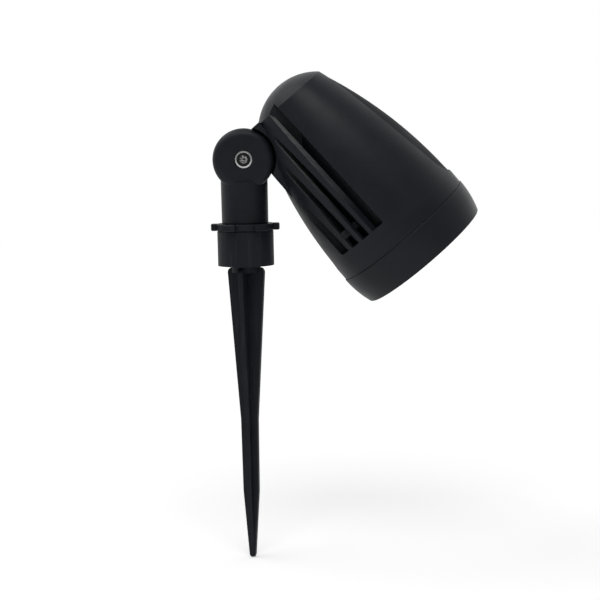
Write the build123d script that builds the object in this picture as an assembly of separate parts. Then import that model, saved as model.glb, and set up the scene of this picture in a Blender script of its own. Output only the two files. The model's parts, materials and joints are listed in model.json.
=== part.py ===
from build123d import *
from math import asin, atan2, cos, radians, sin, sqrt, tan
import os

# Garden spike spotlight. Sizes are in millimetres and angles in degrees.
# The part's frame: +Z is up along the spike, +X is the way the head points, and the origin is the
# centre of the socket's underside, at ground level. The head is drawn in the light's own frame, with
# X forward along the beam, Z up from the keel and the origin at the centre of the bezel's seam.

# Ground spike and its socket
SOCKET_RADIUS = 17.6
SOCKET_HEIGHT = 21.9
SOCKET_FLOOR = 1.8
SOCKET_RIM_CHAMFER = 0.6
NECK_RADIUS = 9.0
NECK_HEIGHT = 1.4
SPIKE_LENGTH = 187.0
BLADE_WIDTH_TOP = 24.3
BLADE_WIDTH_WAIST = 11.0
BLADE_WIDTH_LOW = 10.0
WAIST_DEPTH = 98.0
TAPER_DEPTH = 144.0
TIP_WIDTH = 3.8
BLADE_THICKNESS = 2.9
BLADE_TURN = -19.0
SHOULDER_RADIUS = 3.0

# Cable outlet on the socket's far side
OUTLET_BORE_RADIUS = 3.2
OUTLET_SLEEVE_WALL = 1.4
OUTLET_FLANGE_RADIUS = 6.2
OUTLET_FLANGE_THICKNESS = 2.0
OUTLET_SPOT_FACE_DEPTH = 1.4
OUTLET_HEIGHT = 7.2
OUTLET_FIT = 0.05

# Stem, locknut and their rubber ring
STEM_RADIUS = 10.4
STEM_BORE_RADIUS = 6.5
STEM_BOTTOM = 12.4
STEM_FIT = 0.06
STEM_CHAMFER = 1.0
NUT_HEIGHT = 4.2
NUT_GAP = 0.1
NUT_LUG_RADIUS = 21.5
NUT_NOTCH_RADIUS = 18.1
NUT_LUG_COUNT = 6
NUT_LUG_HALF_ANGLE = 12.5
NUT_EDGE = 0.5
RING_INSIDE_CLEARANCE = 0.3
RING_WIDTH = 2.4
RING_THICKNESS = 1.5

# Post and near ear
POST_RADIUS = 14.65
POST_BOTTOM_RADIUS = 14.5
POST_LEDGE_HEIGHT = 52.2
POST_TOP_OVERLAP = 9.0
POST_EDGE = 0.5
PIVOT_HEIGHT = 66.0
EAR_RADIUS = 19.2
EAR_FACE = 13.2
EAR_ROUNDING = 5.0
EAR_GAP = 1.0
EAR_CLEARANCE = 0.7
KEEL_CLEARANCE = 1.0
BOSS_RADIUS = 6.5
CHAMBER_RADIUS = 12.5
CHAMBER_DEPTH = 5.5
POST_DUCT_RADIUS = 3.2
POST_DUCT_SETBACK = 4.0
STEM_BORE_TOP = 40.0

# Clamp screw, washers, nut and seal of the knuckle
SCREW_RADIUS = 3.0
SCREW_FIT = 0.05
SCREW_HEAD_RADIUS = 5.4
SCREW_HEAD_HEIGHT = 5.3
SCREW_HEAD_CHAMFER = 1.2
SCREW_HEAD_SINK = 0.2
SCREW_SOCKET_FLATS = 5.0
SCREW_SOCKET_DEPTH = 3.0
WASHER_RADIUS = 5.5
WASHER_THICKNESS = 1.0
COUNTERBORE_CLEARANCE = 0.35
FRICTION_WASHER_RADIUS = 6.3
TILT_NUT_FLATS = 10.0
TILT_NUT_HEIGHT = 5.0
TILT_NUT_SINK = 0.3
TILT_NUT_POCKET_FIT = 0.1
EAR_SEAL_RADIUS = 15.2
EAR_SEAL_SECTION = 0.9
EAR_SEAL_GROOVE_DEPTH = 1.0
EAR_SEAL_GROOVE_CLEARANCE = 0.15

# Head: pose and place of the pivot
REST_TILT = 50.2
SEAM_AHEAD_OF_PIVOT = 98.6
AXIS_ABOVE_PIVOT = 46.0

# Housing
BODY_RADIUS = 46.9
BAND_LENGTH = 8.0
BAND_SLOPE = 5.5
BAND_STEP = 0.3
CROWN_BACK = 3.6
DOME_EDGE_RADIUS = 25.2
DOME_HEIGHT = 10.0
BODY_LENGTH = 118.6
WALL = 3.2
SEAM_CHAMFER = 0.35
PANEL_DEPTH = 0.8
PANEL_REAR_HALF_WIDTH = 5.0
PANEL_MIDDLE_BACK = 66.6
PANEL_MIDDLE_HALF_WIDTH = 20.6
PANEL_FRONT_BACK = 24.0
PANEL_FRONT_HALF_WIDTH = 21.4
PANEL_NOSE_BACK = 9.6
PANEL_NOSE_HALF_WIDTH = 12.0
KEEL_HALF_WIDTH = 12.6
KEEL_BOTTOM = 38.8
KEEL_REAR_SET_IN = 9.0
KEEL_FRONT = 58.6
KEEL_EDGE = 1.2

# Cooling fins on each side: thin bevelled plates in a recess below the shell's edge
SHELL_EDGE_DROP = 6.8
SHELL_EDGE_FALL = 1.4
RECESS_DEPTH = 11.5
CORE_HALF_WIDTH = 19.0
BELLY_DROP = 38.2
FIN_DROPS = (15.4, 23.4, 31.0)
FIN_BEVELS = (3.4, 2.0, 1.8)
FIN_EDGE = 2.0
FIN_UNDER_DRAFT = 6.0
FIN_FALL = 1.4
SLOT_FRONT = 16.0
SLOT_CORNER = 1.2
PILLAR_RADIUS = 3.0
PILLAR_TOP_DROP = 18.8
PILLAR_ROUNDING = 1.2
PILLAR_BACK = 24.0
PILLAR_ASIDE = 30.5

# Inner tube of the housing, with its bore
BORE_RADIUS = 24.0
BORE_END_RADIUS = 17.0
BORE_END = 94.0
BORE_WALL = 3.0
MOUTH_RADIUS = 30.0
MOUTH_FLARE = 6.0
LEDGE_BACK = 30.0
LEDGE_THICKNESS = 3.0
FRONT_WALL = 3.5
FRONT_BORE_DEPTH = 8.0
DUCT_RADIUS = 2.8
DUCT_AHEAD_OF_PIVOT = 11.0
DUCT_ASIDE = 5.0
DUCT_TOP = 10.0
ARM_GROMMET_FIT = 0.1
ARM_GROMMET_BORE = 1.7
ARM_GROMMET_LENGTH = 8.0

# Bezel ring, glass and gaskets
BEZEL_PROUD = 0.5
BEZEL_LENGTH = 20.8
BEZEL_RIM_SET_IN = 2.7
BEZEL_RIM_ROUNDING = 0.8
BEZEL_RIM_LAND = 2.3
BEZEL_LIP_COVER = 2.5
BEZEL_LIP_THICKNESS = 1.2
BEZEL_SKIRT_LENGTH = 6.0
BEZEL_SKIRT_FIT = 0.2
GLASS_SET_IN = 6.0
GLASS_FIT = 0.3
GLASS_THICKNESS = 4.0
GLASS_RECESS = 3.6
GLASS_EDGE = 0.3
GASKET_THICKNESS = 0.8
GASKET_WIDTH = 2.1
SEAL_SET_IN = 1.6
SEAL_SECTION = 0.8
SEAL_GROOVE_CLEARANCE = 0.05

# Heat spreader, light source and reflector
SPREADER_THICKNESS = 4.0
SPREADER_FIT = 0.3
SPREADER_SCREW_CIRCLE = 26.9
SPREADER_SCREW_COUNT = 3
SMALL_SCREW_RADIUS = 1.5
SMALL_SCREW_HOLE_FIT = 0.05
SMALL_SCREW_HEAD_RADIUS = 2.7
SMALL_SCREW_HEAD_HEIGHT = 1.6
SPREADER_SCREW_BITE = 5.0
PAD_SIZE = 25.0
PAD_THICKNESS = 0.4
BOARD_SIZE = 24.0
BOARD_THICKNESS = 1.0
EMITTER_RADIUS = 8.5
EMITTER_HEIGHT = 0.7
HOLDER_RADIUS = 20.5
HOLDER_HEIGHT = 3.2
HOLDER_WINDOW_RADIUS = 9.2
HOLDER_POCKET_FIT = 0.2
HOLDER_SCREW_OFFSET = 17.0
REFLECTOR_THROAT_RADIUS = 9.6
REFLECTOR_MOUTH_SET_IN = 2.7
REFLECTOR_WALL = 1.0
REFLECTOR_FLANGE_FIT = 0.3
REFLECTOR_FLANGE_THICKNESS = 1.2
REFLECTOR_STEPS = 6
LEAD_RADIUS = 0.8
LEAD_SPACING = 4.0
LEAD_RISE = 22.3
LEAD_BEND = 2.4
LEAD_HOLE_CLEARANCE = 0.5
LEAD_STAND_OFF = 4.9

# Driver
DRIVER_FIT = 0.3
DRIVER_FRONT = 35.0
DRIVER_LENGTH = 46.0
DRIVER_WALL = 1.5
DRIVER_BOARD_THICKNESS = 1.6
DRIVER_BOARD_DROP = 6.0
DRIVER_BOARD_INSET = 0.3
COIL_RADIUS = 6.5
COIL_HEIGHT = 11.0
CAPACITOR_RADIUS = 4.0
CAPACITOR_HEIGHT = 12.0
TRANSISTOR_SIZE = (10.0, 4.5, 9.0)
DRIVER_PART_BACKS = (44.0, 57.0, 68.0)


def place_head(shape):
    """Carry a piece from the light's own frame to its place on the tilted head."""
    from_pivot = Pos(SEAM_AHEAD_OF_PIVOT, 0, AXIS_ABOVE_PIVOT)
    return Pos(0, 0, PIVOT_HEIGHT) * Rot(0, REST_TILT, 0) * from_pivot * shape


def rod_x(radius, low, high, y=0, z=0):
    """A round bar along X from low to high."""
    return Pos((low + high) / 2, y, z) * Rot(0, 90, 0) * Cylinder(radius, high - low)


def rod_y(radius, low, high, x=0, z=0):
    """A round bar along Y from low to high."""
    return Pos(x, (low + high) / 2, z) * Rot(-90, 0, 0) * Cylinder(radius, high - low)


def rod_z(radius, low, high, x=0, y=0):
    """A round bar along Z from low to high."""
    return Pos(x, y, (low + high) / 2) * Cylinder(radius, high - low)


def block(x_low, x_high, y_low, y_high, z_low, z_high):
    """A rectangular block between its corners."""
    middle = Pos((x_low + x_high) / 2, (y_low + y_high) / 2, (z_low + z_high) / 2)
    return middle * Box(x_high - x_low, y_high - y_low, z_high - z_low)


def turned(edges, axis):
    """A solid of revolution from the closed outline that the edges make on the XY plane."""
    return revolve(make_face(edges), axis, 360)


# Spike


def blade():
    """One flat blade of the spike, with its rounded shoulders and its tapering sides."""
    top = -NECK_HEIGHT
    half_top = BLADE_WIDTH_TOP / 2
    half_waist = BLADE_WIDTH_WAIST / 2
    half_low = BLADE_WIDTH_LOW / 2
    half_tip = TIP_WIDTH / 2
    side = [
        (half_top, top),
        (half_waist, -WAIST_DEPTH),
        (half_low, -TAPER_DEPTH),
        (half_tip, half_tip - SPIKE_LENGTH),
    ]
    mirrored = [(-x, z) for x, z in reversed(side)]
    tip = ThreePointArc(side[-1], (0, -SPIKE_LENGTH), mirrored[0])
    outline = Polyline(*mirrored, *side) + tip
    face = make_face(outline)
    shoulders = face.vertices().filter_by_position(Axis.Y, top - 0.01, top + 0.01)
    face = fillet(shoulders, SHOULDER_RADIUS)
    plate = extrude(Plane.XZ * face, BLADE_THICKNESS / 2, both=True)
    return plate


def outlet_hole():
    """The outlet's hole and spot face through the far wall of the socket."""
    wall_face = SOCKET_RADIUS - OUTLET_SPOT_FACE_DEPTH
    hole = rod_y(OUTLET_BORE_RADIUS + OUTLET_SLEEVE_WALL, 0, SOCKET_RADIUS, z=OUTLET_HEIGHT)
    spot = rod_y(OUTLET_FLANGE_RADIUS + OUTLET_FIT, wall_face, 2 * SOCKET_RADIUS, z=OUTLET_HEIGHT)
    return hole + spot


def ground_spike():
    """Socket, neck and the two crossing blades, moulded in one."""
    socket = rod_z(SOCKET_RADIUS, 0, SOCKET_HEIGHT)
    socket = chamfer(socket.edges().group_by(Axis.Z)[-1], SOCKET_RIM_CHAMFER)
    socket -= rod_z(STEM_RADIUS + STEM_FIT, SOCKET_FLOOR, SOCKET_HEIGHT)
    ring_outside = STEM_RADIUS + RING_INSIDE_CLEARANCE + RING_WIDTH
    socket -= rod_z(ring_outside, SOCKET_HEIGHT - RING_THICKNESS, SOCKET_HEIGHT)
    socket -= outlet_hole()
    neck = rod_z(NECK_RADIUS, -NECK_HEIGHT - BLADE_THICKNESS, 0)
    blades = blade() + Rot(0, 0, 90) * blade()
    return socket + neck + Rot(0, 0, BLADE_TURN) * blades


def stem_seal():
    """Flat ring let into the top of the socket."""
    inside = STEM_RADIUS + RING_INSIDE_CLEARANCE
    ring = rod_z(inside + RING_WIDTH, SOCKET_HEIGHT - RING_THICKNESS, SOCKET_HEIGHT)
    return ring - rod_z(inside, 0, SOCKET_HEIGHT)


def cable_grommet():
    """Rubber grommet of the cable outlet, with its flange on the spot face."""
    wall_face = SOCKET_RADIUS - OUTLET_SPOT_FACE_DEPTH
    inner_end = STEM_RADIUS + STEM_FIT
    outer_end = wall_face + OUTLET_FLANGE_THICKNESS
    sleeve = rod_y(OUTLET_BORE_RADIUS + OUTLET_SLEEVE_WALL, inner_end, wall_face, z=OUTLET_HEIGHT)
    flange = rod_y(OUTLET_FLANGE_RADIUS, wall_face, outer_end, z=OUTLET_HEIGHT)
    bore = rod_y(OUTLET_BORE_RADIUS, 0, 2 * SOCKET_RADIUS, z=OUTLET_HEIGHT)
    return sleeve + flange - bore


# Locknut and knuckle

NUT_BOTTOM = SOCKET_HEIGHT + NUT_GAP
POST_BOTTOM = NUT_BOTTOM + NUT_HEIGHT + NUT_GAP
EAR_INNER = EAR_GAP / 2


def locknut():
    """Round nut with a crown of lugs for turning it by hand."""
    body = rod_z(NUT_NOTCH_RADIUS, NUT_BOTTOM, NUT_BOTTOM + NUT_HEIGHT)
    sector_reach = 2 * NUT_LUG_RADIUS
    half_width = sector_reach * tan(radians(NUT_LUG_HALF_ANGLE))
    sector = make_face(Polyline((0, 0), (sector_reach, -half_width), (sector_reach, half_width), (0, 0)))
    sector = extrude(Pos(0, 0, NUT_BOTTOM) * sector, NUT_HEIGHT)
    lug = rod_z(NUT_LUG_RADIUS, NUT_BOTTOM, NUT_BOTTOM + NUT_HEIGHT) & sector
    for index in range(NUT_LUG_COUNT):
        body += Rot(0, 0, 360 / NUT_LUG_COUNT * index) * lug
    rims = body.edges().group_by(Axis.Z)
    body = chamfer(rims[0] + rims[-1], NUT_EDGE)
    return body - rod_z(STEM_RADIUS + STEM_FIT, 0, PIVOT_HEIGHT)


def ear(inner, outer):
    """Round ear of the knuckle about the tilt axis, with its outer edge rounded over."""
    low, high = min(inner, outer), max(inner, outer)
    disc = rod_y(EAR_RADIUS, low, high)
    edge = disc.edges().filter_by(GeomType.CIRCLE).sort_by(Axis.Y)
    return fillet(edge[-1] if outer > inner else edge[0], EAR_ROUNDING)


def ear_chamber(inner, side):
    """Ring-shaped wire chamber round the screw's boss, open at the ear's inner face."""
    low, high = sorted((inner, inner + side * CHAMBER_DEPTH))
    return rod_y(CHAMBER_RADIUS, low, high) - rod_y(BOSS_RADIUS, low, high)


WASHER_SEAT = -EAR_FACE + SCREW_HEAD_SINK + SCREW_HEAD_HEIGHT + WASHER_THICKNESS


def knuckle_base():
    """Post with its near ear on top and the hollow threaded stem below."""
    post = Cone(POST_BOTTOM_RADIUS, POST_RADIUS, PIVOT_HEIGHT - POST_TOP_OVERLAP - POST_BOTTOM)
    post = Pos(0, 0, (PIVOT_HEIGHT - POST_TOP_OVERLAP + POST_BOTTOM) / 2) * post
    post = chamfer(post.edges().group_by(Axis.Z)[0], POST_EDGE)
    wide = 2 * EAR_RADIUS
    post -= block(-wide, wide, -wide, -EAR_FACE, POST_LEDGE_HEIGHT, PIVOT_HEIGHT)
    post -= Pos(0, 0, PIVOT_HEIGHT) * rod_y(EAR_RADIUS + EAR_CLEARANCE, -EAR_INNER, wide)
    near_ear = ear(-EAR_INNER, -EAR_FACE)
    knuckle = post + Pos(0, 0, PIVOT_HEIGHT) * near_ear
    stem = rod_z(STEM_RADIUS, STEM_BOTTOM, POST_BOTTOM)
    knuckle += chamfer(stem.edges().group_by(Axis.Z)[0], STEM_CHAMFER)
    knuckle -= rod_z(STEM_BORE_RADIUS, 0, STEM_BORE_TOP)
    knuckle -= rod_z(POST_DUCT_RADIUS, 0, PIVOT_HEIGHT - BOSS_RADIUS - POST_DUCT_RADIUS, y=-POST_DUCT_SETBACK)
    counterbore = rod_y(WASHER_RADIUS + COUNTERBORE_CLEARANCE, -wide, WASHER_SEAT)
    screw_hole = rod_y(SCREW_RADIUS + SCREW_FIT, -wide, wide)
    knuckle -= Pos(0, 0, PIVOT_HEIGHT) * (ear_chamber(-EAR_INNER, -1) + counterbore + screw_hole)
    return knuckle


def hexagon_bar(flats, low, high):
    """Hexagonal bar along Y, measured across its flats."""
    face = RegularPolygon(flats / 2, 6, major_radius=False)
    return Pos(0, low, 0) * Rot(-90, 0, 0) * extrude(face, high - low)


def clamp_screw():
    """Socket-head screw, through both ears, with its head in the near ear's counterbore."""
    head_low = -EAR_FACE + SCREW_HEAD_SINK
    head = rod_y(SCREW_HEAD_RADIUS, head_low, head_low + SCREW_HEAD_HEIGHT)
    front_edge = head.edges().filter_by(GeomType.CIRCLE).sort_by(Axis.Y)[0]
    head = chamfer(front_edge, SCREW_HEAD_CHAMFER)
    head -= hexagon_bar(SCREW_SOCKET_FLATS, head_low, head_low + SCREW_SOCKET_DEPTH)
    shank = rod_y(SCREW_RADIUS, head_low + SCREW_HEAD_HEIGHT, EAR_FACE - TILT_NUT_SINK)
    return Pos(0, 0, PIVOT_HEIGHT) * (head + shank)


def screw_washer():
    """Plain washer on the floor of the counterbore."""
    disc = rod_y(WASHER_RADIUS, WASHER_SEAT - WASHER_THICKNESS, WASHER_SEAT)
    hole = rod_y(SCREW_RADIUS + SCREW_FIT, -EAR_FACE, EAR_FACE)
    return Pos(0, 0, PIVOT_HEIGHT) * (disc - hole)


def friction_washer():
    """Washer between the bosses of the two ears."""
    disc = rod_y(FRICTION_WASHER_RADIUS, -EAR_INNER, EAR_INNER)
    hole = rod_y(SCREW_RADIUS + SCREW_FIT, -EAR_FACE, EAR_FACE)
    return Pos(0, 0, PIVOT_HEIGHT) * (disc - hole)


def at_pivot(shape):
    """Carry a piece of the head that is drawn about the tilt axis into the light's own frame."""
    return Pos(-SEAM_AHEAD_OF_PIVOT, 0, -AXIS_ABOVE_PIVOT) * shape


def tilt_nut():
    """Hexagon nut in its pocket in the far ear."""
    outer = EAR_FACE - TILT_NUT_SINK
    nut = hexagon_bar(TILT_NUT_FLATS, outer - TILT_NUT_HEIGHT, outer)
    nut -= rod_y(SCREW_RADIUS + SCREW_FIT, 0, 2 * EAR_FACE)
    return at_pivot(nut)


def ear_seal():
    """Square-section rubber ring in the groove of the far ear's inner face."""
    bottom = EAR_INNER + EAR_SEAL_GROOVE_DEPTH
    top = bottom - 2 * EAR_SEAL_SECTION
    ring = rod_y(EAR_SEAL_RADIUS + EAR_SEAL_SECTION, top, bottom)
    return at_pivot(ring - rod_y(EAR_SEAL_RADIUS - EAR_SEAL_SECTION, top, bottom))


# Housing

CROWN_RADIUS = BODY_RADIUS - BAND_STEP
DOME_EDGE_BACK = BODY_LENGTH - DOME_HEIGHT
DUCT_X = DUCT_AHEAD_OF_PIVOT - SEAM_AHEAD_OF_PIVOT


def side_bulge():
    """Radius of the arc that the housing's side follows from its crown to the dome's edge."""
    length = DOME_EDGE_BACK - CROWN_BACK
    drop = CROWN_RADIUS - DOME_EDGE_RADIUS
    return (length**2 + drop**2) / (2 * drop)


def side_radius(back, inset=0):
    """Radius of the arched side at a distance behind the seam, pulled in by an inset."""
    bulge = side_bulge()
    return CROWN_RADIUS - bulge + sqrt((bulge - inset) ** 2 - (back - CROWN_BACK) ** 2)


def bullet(inset):
    """The housing's body of revolution, pulled in by an inset on its side and dome."""
    front = (0, BODY_RADIUS - inset - SEAM_CHAMFER)
    front_edge = (-SEAM_CHAMFER, BODY_RADIUS - inset)
    band_end = (-BAND_LENGTH, BODY_RADIUS - inset)
    side_start = (-BAND_LENGTH - BAND_SLOPE, side_radius(BAND_LENGTH + BAND_SLOPE, inset))
    side_middle = (-DOME_EDGE_BACK / 2, side_radius(DOME_EDGE_BACK / 2, inset))
    edge_slope = asin((DOME_EDGE_BACK - CROWN_BACK) / side_bulge())
    edge = (inset * sin(edge_slope) - DOME_EDGE_BACK, DOME_EDGE_RADIUS - inset * cos(edge_slope))
    apex = (inset - BODY_LENGTH, 0)
    depth = edge[0] - apex[0]
    dome = (edge[1] ** 2 + depth**2) / (2 * depth)
    half = atan2(edge[1], dome - depth) / 2
    on_dome = (apex[0] + dome * (1 - cos(half)), dome * sin(half))
    outline = Polyline((0, 0), front, front_edge, band_end, side_start)
    outline += ThreePointArc(side_start, side_middle, edge)
    outline += ThreePointArc(edge, on_dome, apex)
    outline += Line(apex, (0, 0))
    return turned(outline, Axis.X)


def bore_radius_at(back):
    """Radius of the tapering bore at a distance behind the seam."""
    share = (back - LEDGE_BACK) / (BORE_END - LEDGE_BACK)
    return BORE_RADIUS + share * (BORE_END_RADIUS - BORE_RADIUS)


def inner_tube():
    """Outside of the tube that holds the driver and flares to the reflector's mouth."""
    mouth = MOUTH_RADIUS + BORE_WALL
    step = LEDGE_BACK + LEDGE_THICKNESS
    narrow = bore_radius_at(step + MOUTH_FLARE) + BORE_WALL
    end = BORE_END + BORE_WALL
    points = [
        (0, 0),
        (0, mouth),
        (-step, mouth),
        (-step - MOUTH_FLARE, narrow),
        (-end, BORE_END_RADIUS + BORE_WALL),
        (-end, 0),
    ]
    return turned(Polyline(*points, close=True), Axis.X)


def tube_bore():
    """Bore for the driver, with the ledge for the heat spreader and the wide mouth before it."""
    points = [
        (0, 0),
        (0, MOUTH_RADIUS),
        (-LEDGE_BACK, MOUTH_RADIUS),
        (-LEDGE_BACK, BORE_RADIUS),
        (-BORE_END, BORE_END_RADIUS),
        (-BORE_END, 0),
    ]
    return turned(Polyline(*points, close=True), Axis.X)


def skin_half_width(drop, back):
    """Half width of the bullet's side at a drop below the axis and a distance behind the seam."""
    return sqrt(side_radius(back) ** 2 - drop**2)


def fin(drop, bevel):
    """Near-side fin: a wedge with a thin outer edge, whose upper edge is bevelled along the skin."""
    half = skin_half_width(drop, CROWN_BACK)
    middle = DOME_EDGE_BACK / 2
    narrowing = half - skin_half_width(drop, middle)
    outline_radius = ((middle - CROWN_BACK) ** 2 + narrowing**2) / (2 * narrowing)
    under = half * tan(radians(FIN_UNDER_DRAFT))
    points = [
        (-half, bevel),
        (half, bevel),
        (half, -FIN_EDGE - under),
        (0, -FIN_EDGE),
        (-half, -FIN_EDGE),
    ]
    plate = extrude(Plane.YZ * make_face(Polyline(*points, close=True)), BODY_LENGTH, both=True)
    reach = bevel + half
    bevel_cone = Pos(0, outline_radius, (bevel - half) / 2)
    bevel_cone *= Cone(outline_radius + half, outline_radius - bevel, reach)
    return Pos(-CROWN_BACK, -half, -drop) * Rot(0, -FIN_FALL, 0) * (plate & bevel_cone)


def fin_recess():
    """Room for the near side's fins: below the shell's edge, above the belly, outside the core."""
    room = block(-2 * BODY_LENGTH, 0, -2 * BODY_RADIUS, -CORE_HALF_WIDTH, -BELLY_DROP, -SHELL_EDGE_DROP)
    room = Pos(-SLOT_FRONT, 0, 0) * room
    room = fillet(room.edges().filter_by(Axis.Y).group_by(Axis.X)[-1], SLOT_CORNER)
    turn = Pos(0, 0, -SHELL_EDGE_DROP) * Rot(0, -SHELL_EDGE_FALL, 0) * Pos(0, 0, SHELL_EDGE_DROP)
    return turn * room - bullet(RECESS_DEPTH)


def fin_pillar():
    """Round-topped pillar between the near side's fins, close to their front ends."""
    pillar = rod_z(PILLAR_RADIUS, -FIN_DROPS[-1], -PILLAR_TOP_DROP, x=-PILLAR_BACK, y=-PILLAR_ASIDE)
    return fillet(pillar.edges().group_by(Axis.Z)[-1], PILLAR_ROUNDING)


def cooling_slots():
    """What is cut from both sides: the recess without its fins and its pillar, and never the tube."""
    fins = [fin(drop, bevel) for drop, bevel in zip(FIN_DROPS, FIN_BEVELS)]
    near = fin_recess() - fins - fin_pillar() - inner_tube()
    return near + mirror(near, Plane.XZ)


def top_panel():
    """Shallow leaf-shaped panel on top: what is taken off the bullet."""
    rear = (-DOME_EDGE_BACK, PANEL_REAR_HALF_WIDTH)
    middle = (-PANEL_MIDDLE_BACK, PANEL_MIDDLE_HALF_WIDTH)
    front = (-PANEL_FRONT_BACK, PANEL_FRONT_HALF_WIDTH)
    nose = (-PANEL_NOSE_BACK, PANEL_NOSE_HALF_WIDTH)
    side = ThreePointArc(rear, middle, front)
    corner = TangentArc(front, nose, tangent=side % 1)
    half = side + corner + Polyline(nose, (nose[0], 0), (rear[0], 0), rear)
    face = make_face(half)
    leaf = extrude(face + mirror(face, Plane.XZ), BODY_RADIUS + WALL)
    return (bullet(0) - bullet(PANEL_DEPTH)) & leaf


def housing():
    """Die-cast bullet with fins, keel, far ear and the bores inside it."""
    body = bullet(0) - cooling_slots() - top_panel()
    keel_rear = KEEL_REAR_SET_IN - BODY_LENGTH
    keel = block(keel_rear, -KEEL_FRONT, -KEEL_HALF_WIDTH, KEEL_HALF_WIDTH, -KEEL_BOTTOM, -BORE_RADIUS)
    keel = chamfer(keel.edges().filter_by(Axis.X).group_by(Axis.Z)[0], KEEL_EDGE)
    body += keel
    body += at_pivot(ear(EAR_INNER, EAR_FACE))
    wide = 2 * EAR_RADIUS
    body -= at_pivot(rod_y(EAR_RADIUS + KEEL_CLEARANCE, -wide, EAR_INNER))
    pocket_floor = WALL - SHELL_EDGE_DROP
    upper_half = block(-BODY_LENGTH, -FRONT_BORE_DEPTH, -BODY_RADIUS, BODY_RADIUS, pocket_floor, BODY_RADIUS)
    body -= (bullet(WALL) & upper_half) - inner_tube()
    body -= tube_bore()
    body -= rod_x(BODY_RADIUS - FRONT_WALL, -FRONT_BORE_DEPTH, WALL)
    far_ear_cuts = ear_chamber(EAR_INNER, 1) + rod_y(SCREW_RADIUS + SCREW_FIT, 0, wide)
    nut_inner = EAR_FACE - TILT_NUT_SINK - TILT_NUT_HEIGHT
    far_ear_cuts += hexagon_bar(TILT_NUT_FLATS + 2 * TILT_NUT_POCKET_FIT, nut_inner, wide)
    groove_half = EAR_SEAL_SECTION + EAR_SEAL_GROOVE_CLEARANCE
    groove_depth = EAR_INNER + EAR_SEAL_GROOVE_DEPTH
    groove = rod_y(EAR_SEAL_RADIUS + groove_half, 0, groove_depth)
    far_ear_cuts += groove - rod_y(EAR_SEAL_RADIUS - groove_half, 0, groove_depth)
    body -= at_pivot(far_ear_cuts)
    body -= rod_z(DUCT_RADIUS, -AXIS_ABOVE_PIVOT + DUCT_RADIUS, -DUCT_TOP, x=DUCT_X, y=DUCT_ASIDE)
    for screw_place in spreader_screw_places():
        body -= screw_place * rod_x(
            SMALL_SCREW_RADIUS + SMALL_SCREW_HOLE_FIT, -LEDGE_BACK - SPREADER_SCREW_BITE, 0
        )
    return body


def arm_grommet():
    """Rubber bush in the duct from the housing to the knuckle."""
    top = -bore_radius_at(-DUCT_X)
    low = top - ARM_GROMMET_LENGTH
    bush = rod_z(DUCT_RADIUS - ARM_GROMMET_FIT, low, top, x=DUCT_X, y=DUCT_ASIDE)
    return bush - rod_z(ARM_GROMMET_BORE, low, top, x=DUCT_X, y=DUCT_ASIDE)


# Bezel, glass and gaskets

BEZEL_RIM_RADIUS = BODY_RADIUS - BEZEL_RIM_SET_IN
GLASS_RADIUS = BODY_RADIUS - GLASS_SET_IN
SEAL_RADIUS = BODY_RADIUS - SEAL_SET_IN
GLASS_FRONT = BEZEL_LENGTH - GLASS_RECESS
GLASS_BACK = GLASS_FRONT - GLASS_THICKNESS


def bezel_ring():
    """Ring with its lip in front of the glass and its skirt inside the housing."""
    outside = BODY_RADIUS + BEZEL_PROUD
    rim_start = BEZEL_LENGTH - BEZEL_RIM_ROUNDING
    rim_inner = BEZEL_RIM_RADIUS - BEZEL_RIM_ROUNDING
    lip_back = GLASS_FRONT + GASKET_THICKNESS
    lip_inner = GLASS_RADIUS - BEZEL_LIP_COVER
    skirt_outside = BODY_RADIUS - FRONT_WALL - BEZEL_SKIRT_FIT
    pocket = GLASS_RADIUS + GLASS_FIT
    half = Line((0, skirt_outside), (0, outside - SEAM_CHAMFER))
    half += Line((0, outside - SEAM_CHAMFER), (SEAM_CHAMFER, outside))
    half += TangentArc((SEAM_CHAMFER, outside), (rim_start, BEZEL_RIM_RADIUS), tangent=(1, 0))
    half += TangentArc((rim_start, BEZEL_RIM_RADIUS), (BEZEL_LENGTH, rim_inner), tangent=half % 1)
    half += Polyline(
        (BEZEL_LENGTH, rim_inner),
        (BEZEL_LENGTH, BEZEL_RIM_RADIUS - BEZEL_RIM_LAND),
        (lip_back + BEZEL_LIP_THICKNESS, lip_inner),
        (lip_back, lip_inner),
        (lip_back, pocket),
        (-BEZEL_SKIRT_LENGTH, pocket),
        (-BEZEL_SKIRT_LENGTH, skirt_outside),
        (0, skirt_outside),
    )
    ring = turned(half, Axis.X)
    groove_half = SEAL_SECTION + SEAL_GROOVE_CLEARANCE
    groove_depth = 2 * groove_half
    groove = rod_x(SEAL_RADIUS + groove_half, 0, groove_depth)
    groove -= rod_x(SEAL_RADIUS - groove_half, 0, groove_depth)
    return ring - groove


def bezel_seal():
    """Square-section rubber ring in the bezel's back face, against the housing's front edge."""
    front = SEAL_GROOVE_CLEARANCE + 2 * SEAL_SECTION
    ring = rod_x(SEAL_RADIUS + SEAL_SECTION, SEAL_GROOVE_CLEARANCE, front)
    return ring - rod_x(SEAL_RADIUS - SEAL_SECTION, SEAL_GROOVE_CLEARANCE, front)


def glass_gasket():
    """Flat gasket between the glass and the bezel's lip."""
    ring = rod_x(GLASS_RADIUS, GLASS_FRONT, GLASS_FRONT + GASKET_THICKNESS)
    return ring - rod_x(GLASS_RADIUS - GASKET_WIDTH, 0, BEZEL_LENGTH)


def front_glass():
    """Round toughened glass with eased edges."""
    glass = rod_x(GLASS_RADIUS, GLASS_BACK, GLASS_FRONT)
    return chamfer(glass.edges().filter_by(GeomType.CIRCLE), GLASS_EDGE)


# Light source

SPREADER_FRONT = SPREADER_THICKNESS - LEDGE_BACK
BOARD_BACK = SPREADER_FRONT + PAD_THICKNESS
BOARD_FRONT = BOARD_BACK + BOARD_THICKNESS
HOLDER_FRONT = SPREADER_FRONT + HOLDER_HEIGHT


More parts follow.
